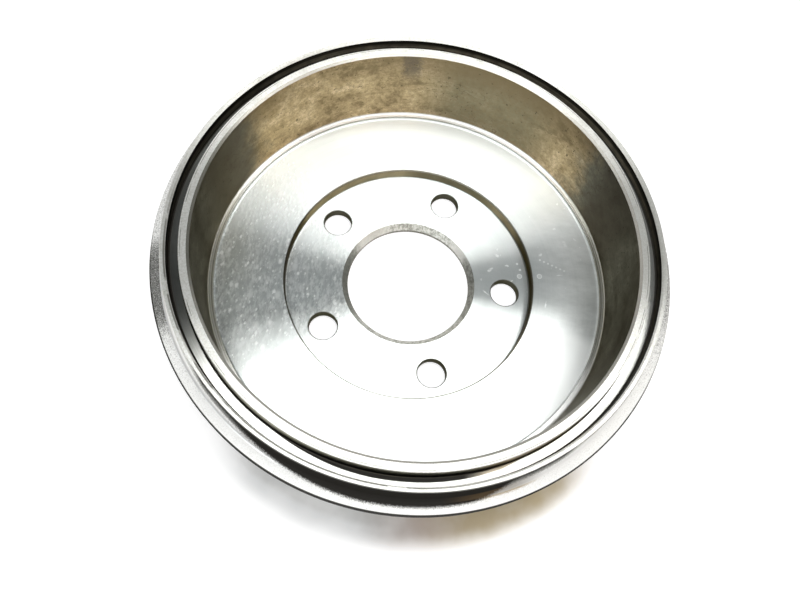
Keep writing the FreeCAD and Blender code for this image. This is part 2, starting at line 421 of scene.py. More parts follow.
    def turned(self, tint, roughness, normal, metallic=1.0, sheen_share=0.7, sheen_roughness=0.24):
        """Sets the shader to metal with fine tool rings, which spread a reflection across them only."""
        self.finish(tint, roughness, normal, metallic)
        tangent = self.node("ShaderNodeTangent", direction_type="RADIAL", axis="Z")
        self.join(tangent.outputs["Tangent"], self.shader.inputs["Tangent"])
        self.shader.inputs["Anisotropic"].default_value = 1.0
        self.shader.inputs["Anisotropic Rotation"].default_value = 0.25
        sheen = self.node("ShaderNodeBsdfAnisotropic", distribution="GGX")
        self.join(tint, sheen.inputs["Color"])
        sheen.inputs["Roughness"].default_value = sheen_roughness
        sheen.inputs["Anisotropy"].default_value = 0.8
        self.join(tangent.outputs["Tangent"], sheen.inputs["Tangent"])
        self.join(normal, sheen.inputs["Normal"])
        mixed = self.node("ShaderNodeMixShader")
        self.join(sheen_share, mixed.inputs["Fac"])
        self.join(self.shader.outputs["BSDF"], mixed.inputs[1])
        self.join(sheen.outputs["BSDF"], mixed.inputs[2])
        self.join(mixed.outputs["Shader"], self.output.inputs["Surface"])
        return self.material


def colour(red, green, blue):
    return (red, green, blue, 1.0)


def smudge(paint, x, y, length, width, turn):
    """A soft oval mark with a broken edge, its long axis turned from +X by turn in degrees."""
    across, along = paint.calc("SUBTRACT", paint.x, x), paint.calc("SUBTRACT", paint.y, y)
    cosine, sine = math.cos(math.radians(turn)), math.sin(math.radians(turn))
    first = paint.calc("MULTIPLY_ADD", along, sine / length, paint.times(across, cosine / length))
    second = paint.calc("MULTIPLY_ADD", across, -sine / width, paint.times(along, cosine / width))
    reach = paint.calc("ADD", paint.calc("POWER", first, 2), paint.calc("POWER", second, 2))
    broken = paint.calc("MULTIPLY_ADD", paint.noise(paint.place, 0.55, 4.0, 0.65), 2.4, -1.0)
    return paint.step(paint.calc("ADD", reach, broken), 0.1, 1.2, 1.0, 0.0)


def ring_line(paint, radius, width, share):
    """A thin line round the axis, present on a share of its way."""
    off = paint.off(paint.radius, radius)
    line = paint.step(off, width / 2, width, 1.0, 0.0)
    there = paint.step(paint.noise(paint.place, 0.05, 3.0), 0.62 - 0.3 * share, 0.70 - 0.3 * share)
    return paint.times(line, there)


def dried_drops(paint, scale, crowding):
    """Chalky marks of dried drops. crowding is from 0, none, to 1, one in every cell."""
    wander = paint.calc("MULTIPLY_ADD", paint.noise(paint.place, 0.9, 3.0, 0.6), 1.6, -0.8)
    shifted = paint.node("ShaderNodeVectorMath", operation="ADD")
    paint.join(paint.stretched(1.0, 0.62, 1.0), shifted.inputs[0])
    paint.join(paint.vector(wander, wander, 0.0), shifted.inputs[1])
    distance, size, lot = paint.cells(shifted.outputs["Vector"], scale)
    reach = paint.calc("MULTIPLY_ADD", size, 0.28, 0.14)
    disc = paint.step(paint.calc("DIVIDE", distance, reach), 0.3, 1.15, 1.0, 0.0)
    strong = paint.calc("MULTIPLY_ADD", lot, -0.5, 1.0)
    there = paint.step(paint.calc("SUBTRACT", crowding, lot), -0.02, 0.02)
    return paint.times(disc, strong, there)


def hairlines(paint, vector, scale, width, amount):
    """Thin wandering lines, the contours of a noise. amount is the share of the surface that has them."""
    course = paint.noise(vector, scale, 2.0)
    line = paint.step(paint.off(course, 0.5), 0.0, width, 1.0, 0.0)
    there = paint.step(paint.noise(vector, scale * 0.6, 1.0), 0.68 - 0.3 * amount, 0.74 - 0.3 * amount)
    return paint.times(line, there)


def hole_rims(paint):
    """A thin dark line round each stud hole."""
    nearest = paint.facing(0)
    for hole in range(1, STUD_COUNT):
        nearest = paint.most(nearest, paint.facing(360 * hole / STUD_COUNT))
    product = paint.times(nearest, paint.radius, -2 * STUD_CIRCLE)
    square = paint.calc("ADD", paint.calc("POWER", paint.radius, 2), product)
    square = paint.calc("ADD", square, STUD_CIRCLE ** 2)
    rim = STUD_HOLE + STUD_HOLE_EDGE
    return paint.step(paint.calc("SQRT", square), rim, rim + 0.35, 0.85, 0.0)


def turned_metal(paint):
    """Tint and relief of a bright turned face, with its fine and broad tool rings."""
    fine = paint.rings(1.3, 0.015)
    broad = paint.rings(0.16, 0.012)
    tone = paint.calc("ADD", paint.calc("MULTIPLY", fine, 0.45), paint.calc("MULTIPLY", broad, 0.55))
    tint = paint.blend(paint.step(tone, 0.35, 0.65), colour(0.83, 0.885, 0.86), colour(0.93, 0.97, 0.95))
    return tint, paint.bump(fine, 0.006)


def spot(paint, x, y, radius):
    """A single dried drop, palest at its edge."""
    away = paint.away(x, y)
    edge = paint.step(paint.off(away, radius), 0.15, 0.5, 0.75, 0.0)
    return paint.most(edge, paint.step(away, radius * 0.8, radius, 0.5, 0.0))


# Layers of dried drops, each with its scale, its share of the crowding, and its strength

DROP_LAYERS = [(0.15, 0.5, 0.50), (0.24, 0.9, 0.80), (0.40, 1.2, 0.85), (0.72, 1.3, 0.60)]


def turned_face(name, crowding, smudges, spots):
    """Bright turned face with dried drops, most of them on the side towards -X, and pale smudges. Its
    reflection is painted darker towards -X, at -150 degrees and in the recess corner towards +X, and paler
    towards +X and about -30 degrees: painted shade and painted light.
    """
    paint = Paint(name)
    tint, relief = turned_metal(paint)
    smear = paint.step(paint.noise(paint.stretched(0.05, 0.022, 0.05), 1.0, 4.0, 0.62, 0.8), 0.50, 0.74)
    # Painted shade, partly smears: darker, greener smears towards -X, where the face's reflection is dull.
    left = paint.side(180, 22, 26)
    tint = paint.blend(paint.times(smear, left, 0.25), tint, colour(0.54, 0.64, 0.60))
    # Painted shade: a dark cloudy band at -150 degrees, at the edge of the bright reflection sector.
    cloud = paint.calc("MULTIPLY_ADD", paint.noise(paint.place, 0.12, 4.0, 0.6), 0.5, 0.5)
    border = paint.times(paint.side(-150, 3, 12), cloud, 0.85)
    tint = paint.blend(border, tint, colour(0.30, 0.315, 0.30))

    cluster = paint.step(paint.noise(paint.stretched(0.13, 0.06, 0.1), 1.0, 3.0, 0.6), 0.28, 0.54)
    few = paint.times(paint.side(14, 16, 12), cluster, 0.05)
    lot = paint.calc("ADD", paint.times(left, cluster, crowding), few)
    layers = []
    for scale, share, strength in DROP_LAYERS:
        layers.append(paint.times(dried_drops(paint, scale, paint.times(lot, share)), strength))
    drops = paint.most(*layers)
    streaks = paint.noise(paint.stretched(0.5, 0.2, 0.3), 1.0, 4.0, 0.7)
    film = paint.times(cluster, left, paint.step(streaks, 0.38, 0.66), 0.45)
    strokes = paint.noise(paint.stretched(0.05, 0.12, 0.1), 1.0, 5.0, 0.7)
    wiped = paint.calc("MULTIPLY_ADD", strokes, 0.7, 0.16)
    # Partly a real pale film and partly painted light: paler towards +X, lifting the dull reflection sector
    # there.
    haze_and_painted_light = paint.times(paint.side(4, 22, 16), paint.step(paint.radius, 66.0, 96.0, 0.4, 1.0), wiped)
    # Painted light: a pale patch about -30 degrees, where the dull reflection sector came out too wide.
    painted_light_wedge = paint.times(paint.side(-30, 13, 9), paint.step(paint.radius, 80.0, 96.0), 0.9)
    behind = paint.times(paint.side(80, 24, 20), paint.step(paint.radius, 88.0, 104.0), 0.5)
    marks = [paint.times(smudge(paint, *place), 0.75) for place in smudges]
    marks += [spot(paint, *place) for place in spots]
    # Pale marks: dried drops, films, smudges, the pale patch towards +Y, and the painted light towards +X
    # and about -30 degrees.
    chalk_and_painted_light = paint.most(drops, film, haze_and_painted_light, painted_light_wedge, behind, *marks)
    tint = paint.blend(chalk_and_painted_light, tint, colour(0.88, 0.90, 0.88))
    scratch = hairlines(paint, paint.stretched(0.11, 0.02, 0.02), 1.0, 0.004, 0.25)
    tint = paint.blend(paint.calc("MULTIPLY", scratch, 0.35), tint, colour(0.97, 0.97, 0.95))
    tint = paint.blend(hole_rims(paint), tint, colour(0.10, 0.10, 0.08))
    # Painted shade: the corner at the foot of the recess wall is dark towards +X.
    foot = paint.step(paint.off(paint.radius, RECESS), 0.5, 0.8, 0.8, 0.0)
    foot = paint.times(foot, paint.side(10, 30, 20))
    tint = paint.blend(foot, tint, colour(0.10, 0.095, 0.075))

    relief = paint.bump(drops, 0.01, under=relief)
    metal = paint.rest(paint.calc("MULTIPLY", chalk_and_painted_light, 0.6))
    share = paint.calc("MULTIPLY", paint.rest(chalk_and_painted_light), 0.7)
    roughness = paint.calc("MULTIPLY_ADD", smear, 0.08, 0.30)
    return paint.turned(tint, roughness, relief, metallic=metal, sheen_share=share)


def ledge():
    """Narrow turned ledge at the foot of the friction wall, striated, with old stains and dark ring lines
    at its sides towards +X and -X, which are painted darker as painted shade.
    """
    paint = Paint("ledge")
    rings = paint.rings(2.6, 0.02)
    grain = paint.noise(paint.place, 1.0, 3.0, 0.6)
    dark, light = colour(0.76, 0.75, 0.64), colour(0.99, 0.98, 0.92)
    tinted = paint.blend(paint.step(rings, 0.38, 0.62), dark, light)
    grain = paint.times(paint.step(grain, 0.46, 0.66), 0.5)
    tinted = paint.blend(grain, tinted, colour(0.80, 0.78, 0.62))
    clean = paint.blend(paint.step(rings, 0.36, 0.50), colour(0.88, 0.88, 0.85), colour(0.99, 0.99, 0.97))
    for outward in (0.9, 2.2):
        line = paint.step(paint.off(paint.radius, LEDGE + outward), 0.1, 0.35, 0.6, 0.0)
        tinted = paint.blend(line, tinted, colour(0.10, 0.10, 0.075))
    # Painted shade: the sides towards +X and -X take the darker copy with stains, where the ledge reflects
    # dully; towards +Y and -Y it stays clean and bright.
    sides = paint.step(paint.calc("ABSOLUTE", paint.facing(8)), 0.78, 0.95)
    return paint.turned(paint.blend(sides, clean, tinted), 0.34, paint.bump(rings, 0.01))


def ledge_step():
    paint = Paint("ledge_step")
    grain = paint.noise(paint.place, 0.7, 3.0, 0.6)
    tint = paint.blend(grain, colour(0.10, 0.095, 0.07), colour(0.34, 0.325, 0.26))
    return paint.finish(tint, 0.38)


def friction_wall():
    """Wall with oily storage stains: clouds of olive brown, specks, and short wandering lines. Its far
    side, towards +Y, which faces the lamps, is painted lighter and tan as painted light, its shoulders
    either side are painted darker as painted shade, and it is darker towards the top.
    """
    paint = Paint("friction_wall")
    clouds = paint.noise(paint.stretched(0.040, 0.040, 0.055), 1.0, 7.0, 0.68, 0.4)
    patches = paint.noise(paint.place, 0.20, 6.0, 0.72, 0.2)
    mottle = paint.calc("ADD", paint.times(clouds, 0.65), paint.times(patches, 0.35))
    border = paint.calc("MULTIPLY_ADD", paint.noise(paint.place, 0.07, 5.0, 0.65), 1.0, -0.5)
    # Painted light: each tone has a dull copy for the sides and a lighter, tan copy for the far side, which
    # faces the lamps.
    far = paint.step(paint.calc("ADD", paint.side(92, 44, 26), border), 0.2, 0.95)
    dark = paint.blend(far, colour(0.115, 0.105, 0.082), colour(0.20, 0.148, 0.083))
    middle = paint.blend(far, colour(0.20, 0.190, 0.150), colour(0.49, 0.375, 0.215))
    light = paint.blend(far, colour(0.29, 0.280, 0.220), colour(0.76, 0.60, 0.39))
    tint = paint.blend(paint.step(mottle, 0.37, 0.53), dark, middle)
    tint = paint.blend(paint.step(mottle, 0.50, 0.66), tint, light)
    # Painted shade: darker at the shoulders of the lit far side, about 161 and 20 degrees.
    shoulders = paint.most(paint.side(161, 5, 12), paint.side(20, 6, 10))
    tint = paint.blend(paint.times(shoulders, 0.55), tint, colour(0.085, 0.072, 0.055))
    olive = paint.blend(mottle, colour(0.05, 0.046, 0.030), colour(0.25, 0.225, 0.145))
    tint = paint.blend(paint.times(paint.side(70, 10, 18), far, 0.85), tint, olive)
    upper = paint.times(paint.step(paint.z, 42.0, 64.0), paint.rest(paint.side(122, 6, 14)))
    upper = paint.times(upper, paint.calc("MULTIPLY_ADD", far, 0.5, 0.2))
    tint = paint.blend(upper, tint, dark)
    grain = paint.noise(paint.place, 0.42, 5.0, 0.85)
    tint = paint.blend(paint.times(paint.step(grain, 0.42, 0.62), 0.55), tint, dark)
    bands = paint.rings(0.9, 0.012, paint.z)
    tint = paint.blend(paint.times(paint.step(bands, 0.5, 0.7), 0.3), tint, dark)
    shade = smudge(paint, -13.0, FRICTION, 7.5, 4.0, 0.0)
    shade = paint.times(shade, paint.step(paint.z, 42.0, 56.0), 0.8)
    tint = paint.blend(shade, tint, colour(0.12, 0.10, 0.08))
    specks = paint.step(paint.noise(paint.place, 0.55, 2.0, 0.5), 0.66, 0.73)
    lines = hairlines(paint, paint.stretched(1.0, 1.0, 1.5), 0.06, 0.006, 0.45)
    marks = paint.most(paint.times(specks, 0.7), paint.times(lines, 0.6))
    tint = paint.blend(marks, tint, colour(0.05, 0.042, 0.03))
    relief = paint.bump(bands, 0.006)
    paint.shader.inputs["Specular Tint"].default_value = colour(0.35, 0.34, 0.32)
    return paint.finish(tint, paint.calc("MULTIPLY_ADD", mottle, 0.25, 0.26), relief)


# Near black for painted shade and painted dark reflections.
PAINTED_DARK = colour(0.018, 0.016, 0.013)


def near_side(paint):
    """The side, towards -Y, where the outside of the outer lip is painted black as a painted dark
    reflection.
    """
    return paint.side(-95, 41, 7)


def near_dark(paint, reach):
    """How far the painted dark reflection comes out of the mouth's fillets: most at -Y, drawn out to -X,
    short to +X.
    """
    return paint.times(paint.side(-88, 6, 38), paint.side(-112, reach, 10))


def lip_painted_dark(paint, grain):
    """Painted dark reflection on the outside of the outer lip and on the flange at its foot."""
    foot = paint.calc("MULTIPLY_ADD", near_dark(paint, 38), -3.8, paint.radius)
    foot = paint.calc("MULTIPLY_ADD", grain, 2.4, foot)
    foot = paint.step(foot, FLANGE_ROOT + 0.4, FLANGE_ROOT + 2.2, 1.0, 0.0)
    return paint.times(foot, near_side(paint))


def lips():
    """Turned tops of the two lips, scuffed, with faint speckle, thin dark lines and a few nicks. They are
    painted darker towards +X and along the outer lip's chamfer on the near side, as painted shade, and
    black at the outer lip's outer edge by -Y, as a painted dark reflection.
    """
    paint = Paint("lips")
    rings = paint.rings(2.2)
    speckle = paint.step(paint.noise(paint.place, 0.9, 3.0, 0.65), 0.35, 0.65)
    tint = paint.blend(speckle, colour(0.80, 0.80, 0.74), colour(0.95, 0.95, 0.91))
    patches = paint.step(paint.noise(paint.place, 0.09, 3.0), 0.5, 0.68)
    tint = paint.blend(paint.times(patches, 0.4), tint, colour(0.64, 0.64, 0.57))
    # Painted shade: a dark line on the outer lip's chamfer, on the near side where the chamfer faces away.
    chamfer_line = paint.times(ring_line(paint, GROOVE_OUTSIDE + 0.6, 0.5, 0.9), paint.side(-128, 38, 30))
    lines = paint.most(ring_line(paint, INNER_LIP - 1.0, 0.2, 0.6), chamfer_line)
    # Painted shade: the lips are darker towards +X, where their reflection is dull.
    right = paint.times(paint.side(24, 24, 18), 0.3)
    tint = paint.blend(right, tint, colour(0.55, 0.55, 0.49))
    nicks = hairlines(paint, paint.place, 0.16, 0.008, 0.2)
    marks = paint.most(lines, paint.times(nicks, 0.7))
    tint = paint.blend(paint.times(marks, 0.75), tint, colour(0.16, 0.155, 0.13))
    # Painted dark reflection: the outer lip's outer edge is painted black on the near side.
    reach = paint.most(near_side(paint), paint.times(paint.side(-50, 14, 16), 0.6))
    outer_edge = paint.times(paint.step(paint.radius, OUTER_LIP - 0.7, OUTER_LIP - 0.3), reach)
    tint = paint.blend(paint.times(outer_edge, 0.9), tint, PAINTED_DARK)
    relief = paint.bump(rings, 0.008)
    return paint.turned(tint, 0.42, relief, metallic=0.55, sheen_share=0.5, sheen_roughness=0.28)


def warm_highlight(paint):
    """A narrow band about -57 degrees, between +X and -Y, where a painted warm highlight goes on the walls
    of the mouth.
    """
    return paint.step(paint.facing(-57), 0.962, 0.992)


def groove_floor():
    """Turned floor of the labyrinth groove, with stains. It is painted darker towards -X and black in its
    outer corner as painted shade, black at its inner foot on the near side as a painted dark reflection,
    and brown about -64 degrees as a painted warm highlight.
    """
    paint = Paint("groove_floor")
    rings = paint.rings(1.8, 0.02)
    stain_and_shadow = paint.step(paint.noise(paint.place, 0.12, 4.0, 0.6), 0.5, 0.75)
    tint = paint.blend(paint.step(rings, 0.35, 0.65), colour(0.72, 0.73, 0.68), colour(0.90, 0.90, 0.86))
    tint = paint.blend(paint.times(stain_and_shadow, 0.45), tint, colour(0.35, 0.34, 0.28))
    # Painted shade: darker towards -X, with very dark patches at -156 and 150 degrees.
    tint = paint.blend(paint.times(paint.side(171, 38, 14), 0.80), tint, colour(0.20, 0.205, 0.19))
    tint = paint.blend(paint.times(paint.side(-156, 6, 12), 0.45), tint, colour(0.06, 0.062, 0.055))
    tint = paint.blend(paint.times(paint.side(150, 8, 10), 0.6), tint, colour(0.06, 0.062, 0.055))
    # Painted shade in the corner at the outer wall all round, and painted dark reflection at the inner
    # wall's foot on the near side: both black.
    corner = paint.step(paint.radius, GROOVE_OUTSIDE - 1.0, GROOVE_OUTSIDE - 0.6)
    foot = paint.calc("MULTIPLY_ADD", near_dark(paint, 45), -2.6, paint.radius)
    foot = paint.step(foot, INNER_LIP + GROOVE_DRAFT - 0.2, INNER_LIP + GROOVE_DRAFT + 0.2, 1.0, 0.0)
    # Painted warm highlight: brown at the inner foot about -64 degrees.
    tint = paint.blend(paint.times(foot, paint.side(-64, 8, 6), 0.8), tint, colour(0.24, 0.18, 0.10))
    black = paint.times(paint.rest(paint.side(-64, 5, 7)), foot)
    black = paint.most(corner, black)
    tint = paint.blend(paint.times(black, 0.97), tint, PAINTED_DARK)
    metal = paint.dull_where_black(black, 1.0)
    return paint.turned(tint, 0.34, paint.bump(rings, 0.008), metal, sheen_share=paint.times(metal, 0.7))


# Heights where the painted black shade on each wall of the groove begins and is full

GROOVE_SHADE_OUTSIDE = (62.6, 64.0)
GROOVE_SHADE_INSIDE = (62.4, 59.8)


def groove_wall(name, dark, light, roughness, black_from, black_to):
    """Wall of the labyrinth groove, dark, with tool rings, a painted warm highlight, a painted pale
    highlight near its top on the -Y side, and black beyond a height as painted shade.
    """
    paint = Paint(name)
    rings = paint.rings(1.4, 0.012, paint.z)
    stain_and_shadow = paint.noise(paint.place, 0.12, 4.0, 0.6)
    tone = paint.calc("ADD", paint.calc("MULTIPLY", rings, 0.6), paint.calc("MULTIPLY", stain_and_shadow, 0.4))
    tint = paint.blend(paint.step(tone, 0.35, 0.65), dark, light)
    tint = paint.blend(paint.times(warm_highlight(paint), 0.8), tint, colour(0.62, 0.47, 0.29))
    top = paint.step(paint.z, OVERALL_HEIGHT - 4.5, OVERALL_HEIGHT - 1.5)
    lit = paint.times(paint.side(-90, 38, 16), top)
    tint = paint.blend(paint.times(lit, 0.7), tint, colour(0.74, 0.72, 0.58))
    # Painted shade: black beyond a height.
    tint = paint.blend(paint.step(paint.z, black_from, black_to, 0.0, 0.92), tint, PAINTED_DARK)
    paint.shader.inputs["Specular Tint"].default_value = colour(0.5, 0.5, 0.5)
    return paint.finish(tint, roughness, paint.bump(rings, 0.01))


def mouth_chamfer():
    paint = Paint("mouth_chamfer")
    speckle = paint.noise(paint.place, 0.8, 3.0)
    tint = paint.blend(speckle, colour(0.70, 0.68, 0.61), colour(0.95, 0.93, 0.86))
    # Painted shade: darker on the near side, where the chamfer faces away, and towards -X.
    tint = paint.blend(paint.times(paint.side(-92, 66, 30), 0.6), tint, colour(0.30, 0.30, 0.27))
    tint = paint.blend(paint.times(paint.side(178, 16, 16), 0.85), tint, colour(0.20, 0.20, 0.17))
    return paint.turned(tint, 0.36, paint.bump(speckle, 0.004), metallic=0.75)


def recess_wall():
    """Wall of the hub recess, stained as the friction wall is."""
    paint = Paint("recess_wall")
    stain_and_shadow = paint.noise(paint.place, 0.12, 4.0, 0.6)
    tint = paint.blend(stain_and_shadow, colour(0.10, 0.085, 0.055), colour(0.36, 0.30, 0.19))
    shadow = paint.most(paint.side(-178, 20, 14), paint.times(paint.side(6, 18, 14), 0.85))
    shadow = paint.most(shadow, paint.times(paint.side(72, 14, 16), 0.65))
    tint = paint.blend(shadow, tint, colour(0.045, 0.042, 0.030))
    bands = paint.rings(1.3, 0.012, paint.z)
    paint.shader.inputs["Specular Tint"].default_value = colour(0.4, 0.38, 0.34)
    return paint.finish(tint, 0.36, paint.bump(bands, 0.008))


def recess_edge():
    paint = Paint("recess_edge")
    speckle = paint.noise(paint.place, 0.6, 4.0, 0.6)
    tint = paint.blend(speckle, colour(0.30, 0.28, 0.22), colour(0.66, 0.64, 0.55))
    # Painted shade: dark towards -X and +X.
    left, right = paint.times(paint.side(-178, 24, 16), 0.9), paint.times(paint.side(4, 20, 16), 0.75)
    dark = paint.most(left, right)
    tint = paint.blend(dark, tint, colour(0.05, 0.047, 0.038))
    return paint.finish(tint, 0.36)


def bore():
    """Roughly turned chamfer and wall of the centre bore, scored by the tool, with painted highlights about
    131 and 40 degrees, and painted shade towards -X, +X and -Y and on the wall below the chamfer.
    """
    paint = Paint("bore")
    grain = paint.noise(paint.place, 0.7, 4.0, 0.65)
    scores = paint.noise(paint.stretched(0.7, 0.12, 0.5), 1.0, 4.0, 0.7)
    tone = paint.calc("ADD", paint.calc("MULTIPLY", grain, 0.5), paint.calc("MULTIPLY", scores, 0.5))
    tint = paint.blend(paint.step(tone, 0.40, 0.60), colour(0.34, 0.34, 0.30), colour(0.80, 0.80, 0.74))
    # Painted highlights: near white about 131 and 40 degrees.
    bright = paint.most(paint.side(131, 10, 14), paint.side(40, 4, 12))
    tint = paint.blend(paint.times(bright, 0.7), tint, colour(0.99, 0.98, 0.92))
    # Painted shade: darker towards -X and +X.
    tinted = paint.most(paint.side(-174, 22, 22), paint.times(paint.side(0, 20, 22), 0.6))
    tint = paint.blend(paint.times(tinted, 0.8), tint, colour(0.15, 0.155, 0.135))
    # Painted shade: the bore's wall below the chamfer is dark.
    wall = paint.step(paint.z, HUB_FLOOR - BORE_CHAMFER - 0.2, HUB_FLOOR - BORE_CHAMFER, 0.8, 0.0)
    tint = paint.blend(wall, tint, colour(0.12, 0.11, 0.09))
    # Painted shade: darker on the near side.
    tint = paint.blend(paint.times(paint.side(-90, 50, 24), 0.35), tint, colour(0.35, 0.35, 0.31))
    return paint.turned(tint, 0.40, paint.bump(grain, 0.03), sheen_share=0.5)


def stud_holes():
    """Drilled walls, painted very dark as painted shade inside the holes, with the drill's rings."""
    paint = Paint("stud_holes")
    rings = paint.noise(paint.stretched(0.1, 0.1, 1.2), 1.0, 3.0)
    tint = paint.blend(rings, colour(0.018, 0.017, 0.013), colour(0.12, 0.115, 0.09))
    paint.shader.inputs["Specular Tint"].default_value = colour(0.4, 0.4, 0.36)
    return paint.finish(tint, 0.38, paint.bump(rings, 0.02))


def outer_lip_side():
    """Turned outside of the outer lip, painted black on the near side as a painted dark reflection, with a
    painted warm highlight on its fillet about -69 degrees.
    """
    paint = Paint("outer_lip_side")
    rings = paint.rings(1.2, 0.012, paint.z)
    grain = paint.noise(paint.place, 1.7, 3.0, 0.6)
    tint = paint.blend(rings, colour(0.70, 0.70, 0.66), colour(0.95, 0.95, 0.92))
    fillet = paint.step(paint.radius, FLANGE_ROOT + 0.1, FLANGE_ROOT + 0.5)
    tint = paint.blend(fillet, tint, colour(0.97, 0.97, 0.95))
    # Painted dark reflection: black on the near side.
    black = lip_painted_dark(paint, grain)
    tint = paint.blend(paint.calc("MULTIPLY", black, 0.98), tint, PAINTED_DARK)
    # Painted warm highlight on the fillet about -69 degrees.
    tint = paint.blend(paint.times(paint.side(-69, 3, 9), fillet, 0.5), tint, colour(0.16, 0.105, 0.05))
    shine = paint.times(fillet, paint.side(-140, 24, 24))
    metal = paint.dull_where_black(black, paint.calc("MULTIPLY_ADD", shine, 0.7, 0.15))
    return paint.finish(tint, 0.36, paint.bump(rings, 0.006), metallic=metal)


def flange():
    """Sandy cast skin of the flange's front, painted greyer at its sides as painted shade, black at the
    outer lip's foot on the near side as a painted dark reflection, black along the rim's edge on the near
    side as painted shade, and brown about -70 degrees as a painted warm highlight.
    """
    paint = Paint("flange")
    grain = paint.noise(paint.place, 1.7, 3.0, 0.6)
    streaks = paint.noise(paint.place, 0.35, 4.0, 0.7)
    tint = paint.blend(paint.step(grain, 0.34, 0.60), colour(0.88, 0.88, 0.85), colour(0.99, 0.99, 0.97))
    # Painted shade: greyer about -163, 178 and 20 degrees, broken up by streaks and sandy grain.
    grey = paint.most(paint.side(-163, 5, 13), paint.times(paint.side(178, 22, 30), 0.42))
    grey = paint.most(grey, paint.times(paint.side(20, 17, 42), 0.80))
    grey = paint.calc("MULTIPLY_ADD", paint.calc("SUBTRACT", streaks, 0.5), 0.4, grey)
    sand = paint.noise(paint.place, 2.2, 2.0, 0.7)
    grey = paint.step(paint.calc("ADD", grey, paint.calc("MULTIPLY_ADD", sand, 2.4, -1.2)), 0.1, 1.15)
    tint = paint.blend(grey, tint, colour(0.09, 0.09, 0.082))

    # Painted dark reflection: black at the outer lip's foot on the near side.
    painted_lip_black = lip_painted_dark(paint, grain)
    # Painted warm highlight: a brown band by the lip's foot about -70 degrees.
    width = paint.calc("MULTIPLY_ADD", grain, 1.6, paint.radius)
    tinted = paint.step(width, FLANGE_ROOT + 3.2, FLANGE_ROOT + 4.4, 1.0, 0.0)
    tinted = paint.times(tinted, paint.side(-70, 5, 7))
    tint = paint.blend(paint.times(tinted, 0.9), tint, colour(0.40, 0.29, 0.15))
    tint = paint.blend(paint.times(painted_lip_black, 0.98), tint, PAINTED_DARK)
    # Painted shade: a black line at the rim's edge on the near side.
    edge = paint.step(paint.radius, FLANGE_RIM - 0.9, FLANGE_RIM - 0.65)
    edge = paint.times(edge, paint.side(-98, 62, 24))
    tint = paint.blend(paint.times(edge, 0.96), tint, PAINTED_DARK)
    metal = paint.dull_where_black(paint.most(painted_lip_black, edge), 0.1)
    return paint.finish(tint, 0.38, paint.bump(grain, 0.05), metallic=metal)


def flange_rim():
    paint = Paint("flange_rim")
    grain = paint.noise(paint.place, 0.9, 4.0, 0.7)
    tint = paint.blend(grain, colour(0.16, 0.155, 0.14), colour(0.34, 0.335, 0.31))
    # Painted shade: the rim is black on the near side.
    black = paint.times(paint.side(-90, 38, 22), 0.95)
    tint = paint.blend(black, tint, PAINTED_DARK)
    return paint.finish(tint, 0.5, paint.bump(grain, 0.15), metallic=paint.dull_where_black(black, 1.0))


def cast_skin():
    """Cast outside: grey, with sand grain and a little brown."""
    paint = Paint("cast_skin")
    grain = paint.noise(paint.place, 0.8, 4.0, 0.7)
    broad = paint.noise(paint.place, 0.05, 4.0, 0.6)
    tint = paint.blend(grain, colour(0.16, 0.158, 0.148), colour(0.36, 0.355, 0.335))
    tint = paint.blend(paint.times(paint.step(broad, 0.48, 0.72), 0.5), tint, colour(0.24, 0.20, 0.15))
    return paint.finish(tint, 0.6, paint.bump(grain, 0.3), metallic=0.8)


# Pale smudges on the web and on the hub floor: place in x and y, length, width, and turn in degrees

WEB_SMUDGES = [
    (91.5, 33.0, 4.5, 1.8, -55),
    (97.7, 37.0, 3.0, 0.8, -40),
    (85.0, 43.0, 2.5, 1.2, 20),
    (76.5, 24.0, 2.2, 1.2, 60),
    (88.0, 12.0, 3.4, 0.6, 10),
    (80.0, -8.0, 3.0, 0.7, 80),
]
HUB_SMUDGES = [
    (45.6, -0.9, 3.8, 0.7, -35),
    (48.0, 14.0, 3.0, 1.4, 50),
    (52.0, 24.0, 2.4, 1.2, -30),
    (58.0, 18.0, 1.6, 1.0, 0),
    (61.0, 8.0, 1.8, 0.6, 40),
]

# Single drops on them: place in x and y, and radius. The web has one drop and a trail of small ones.

WEB_SPOTS = [(76.1, 9.8, 1.3)]
for step in range(7):
    WEB_SPOTS.append((76.3 + 2.45 * step, 20.6 - 0.9 * step, 0.35))
HUB_SPOTS = [(66.0, 12.0, 1.3), (64.3, 20.1, 0.45), (66.2, 16.3, 0.45)]

materials = {
    "web": turned_face("turned_web", 0.95, WEB_SMUDGES, WEB_SPOTS),
    "hub_floor": turned_face("turned_floor", 0.8, HUB_SMUDGES, HUB_SPOTS),
    "ledge": ledge(),
    "ledge_step": ledge_step(),
    "friction_wall": friction_wall(),
    "mouth_chamfer": mouth_chamfer(),
    "lips": lips(),
    "groove_outside": groove_wall(
        "groove_outside", colour(0.028, 0.025, 0.020), colour(0.115, 0.103, 0.080), 0.36, *GROOVE_SHADE_OUTSIDE
    ),
    "groove_floor": groove_floor(),
    "groove_inside": groove_wall(
        "groove_inside", colour(0.16, 0.155, 0.12), colour(0.42, 0.40, 0.32), 0.33, *GROOVE_SHADE_INSIDE
    ),
    "recess_wall": recess_wall(),
    "recess_edge": recess_edge(),
    "bore": bore(),
    "stud_holes": stud_holes(),
    "outer_lip_side": outer_lip_side(),
    "flange": flange(),
    "flange_rim": flange_rim(),
    "cast_skin": cast_skin(),
    "wheel_seat": turned_face("wheel_seat", 0.2, [], []),
}

drum = mesh_object("brake_drum_surface", build_casting(), materials)
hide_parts("brake_drum")
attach(drum, "root")

# Floor and light

FLOOR_RADIUS = 2.4
FLOOR_RISE = 1.8
FLOOR_DROP = 0.0002
FLOOR_SIDES = 96
FLOOR_CURVE_STEPS = 12
FLOOR_GLOW = 0.45

# Radii in millimetres between which the painted shadow comes in, and goes out again

